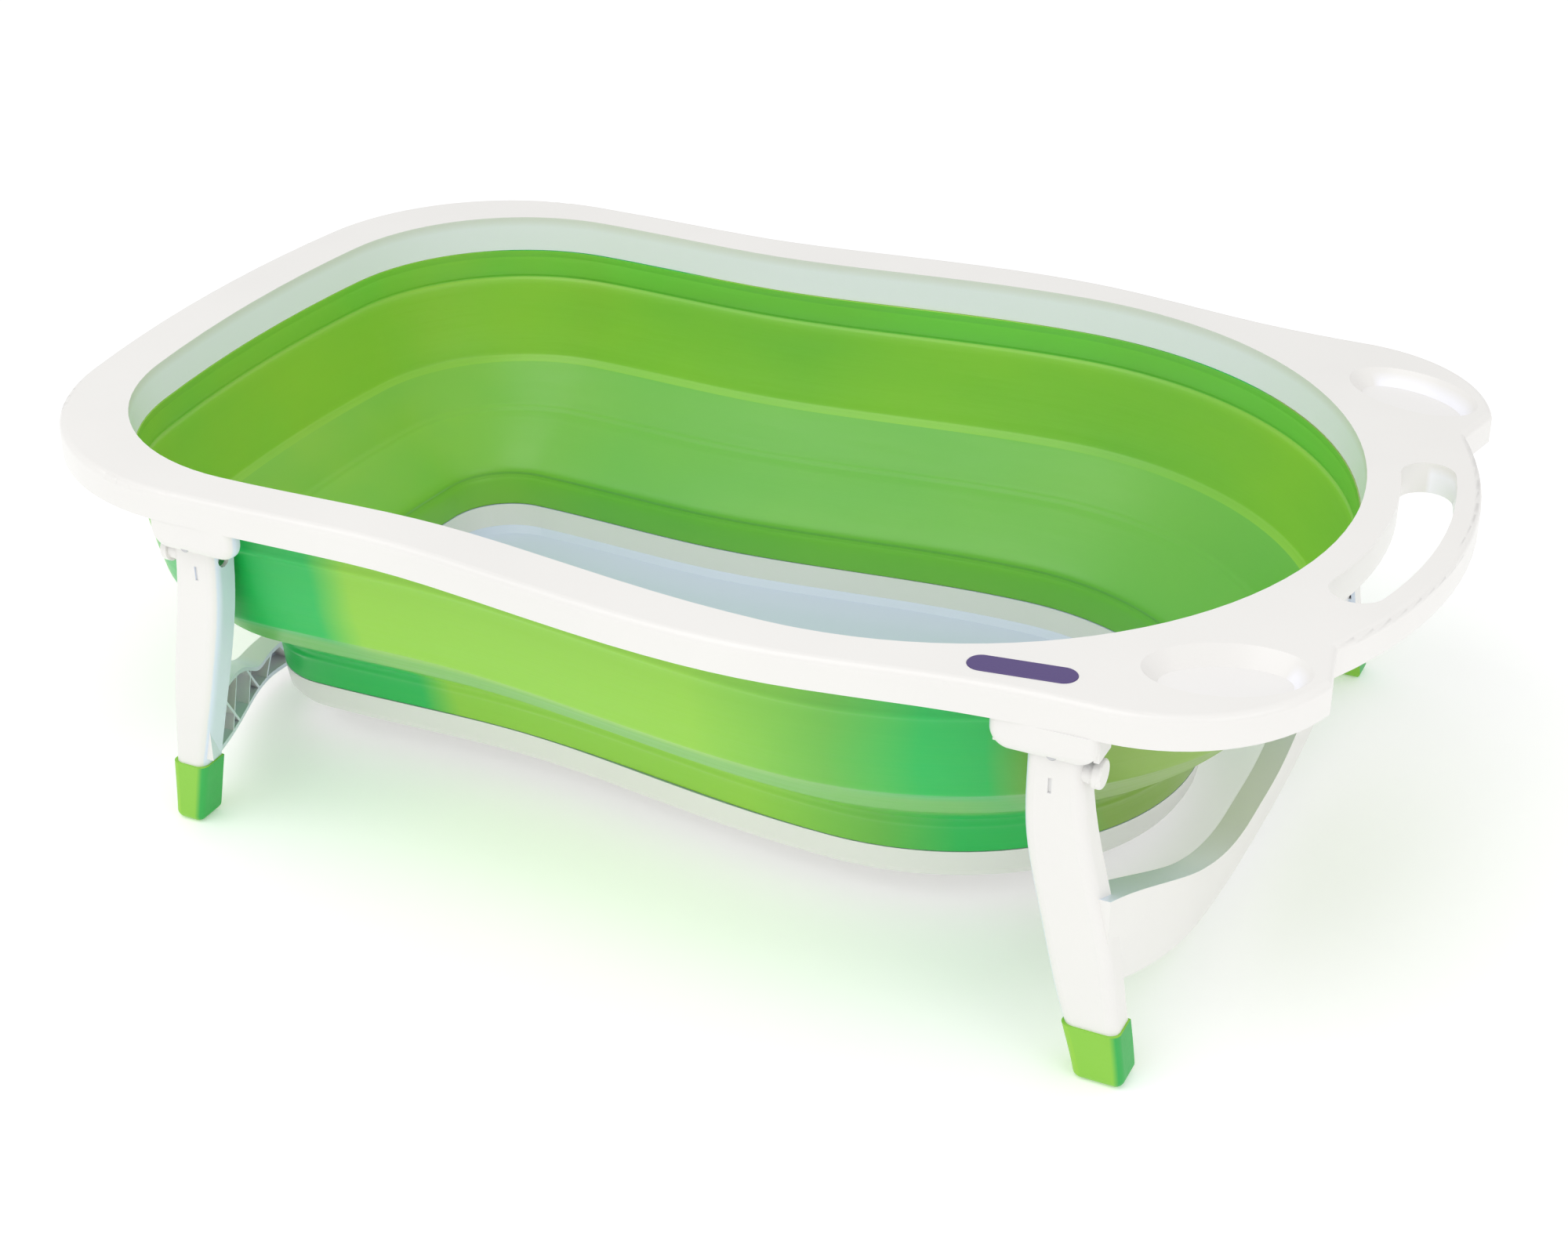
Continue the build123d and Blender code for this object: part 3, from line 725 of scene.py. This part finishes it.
def add_camera(stage):
    """Camera on the view line that passes the tub at its usual angle."""
    data = bpy.data.cameras.new("camera")
    data.sensor_width = 36
    data.lens = stage.focal
    camera = bpy.data.objects.new("camera", data)
    flat = cos(stage.elevation)
    back = Vector((sin(stage.azimuth) * flat, -cos(stage.azimuth) * flat, sin(stage.elevation)))
    camera.location = CAMERA_PLACE
    camera.rotation_euler = back.to_track_quat("Z", "Y").to_euler()
    bpy.context.scene.collection.objects.link(camera)
    bpy.context.scene.camera = camera


class BATHTUB_PT_panel(bpy.types.Panel):
    """Lists the steps that finish the tub"""

    bl_label = "Bathtub"
    bl_idname = "BATHTUB_PT_panel"
    bl_space_type = "VIEW_3D"
    bl_region_type = "UI"
    bl_category = "Bathtub"

    def draw(self, context):
        scene = context.scene
        for group in (scene.tub_wall_settings, scene.tub_colours, scene.tub_stage):
            box = self.layout.box()
            for key in group.bl_rna.properties.keys():
                if key not in ("rna_type", "name"):
                    box.prop(group, key)
        for step in STEPS:
            self.layout.operator(step.bl_idname)


GROUPS = (TubWallSettings, TubColours, StageSettings)
STEPS = (
    BATHTUB_OT_soft_wall,
    BATHTUB_OT_white_plastic,
    BATHTUB_OT_pan,
    BATHTUB_OT_foot_caps,
    BATHTUB_OT_hardware,
    BATHTUB_OT_badge,
    BATHTUB_OT_stage,
)


def register():
    for item in (*GROUPS, *STEPS, BATHTUB_PT_panel):
        bpy.utils.register_class(item)
    bpy.types.Scene.tub_wall_settings = PointerProperty(type=TubWallSettings)
    bpy.types.Scene.tub_colours = PointerProperty(type=TubColours)
    bpy.types.Scene.tub_stage = PointerProperty(type=StageSettings)


def unregister():
    del bpy.types.Scene.tub_stage
    del bpy.types.Scene.tub_colours
    del bpy.types.Scene.tub_wall_settings
    for item in reversed((*GROUPS, *STEPS, BATHTUB_PT_panel)):
        bpy.utils.unregister_class(item)


def main():
    register()
    for step in STEPS:
        group, name = step.bl_idname.split(".")
        getattr(getattr(bpy.ops, group), name)()


if __name__ == "__main__":
    main()
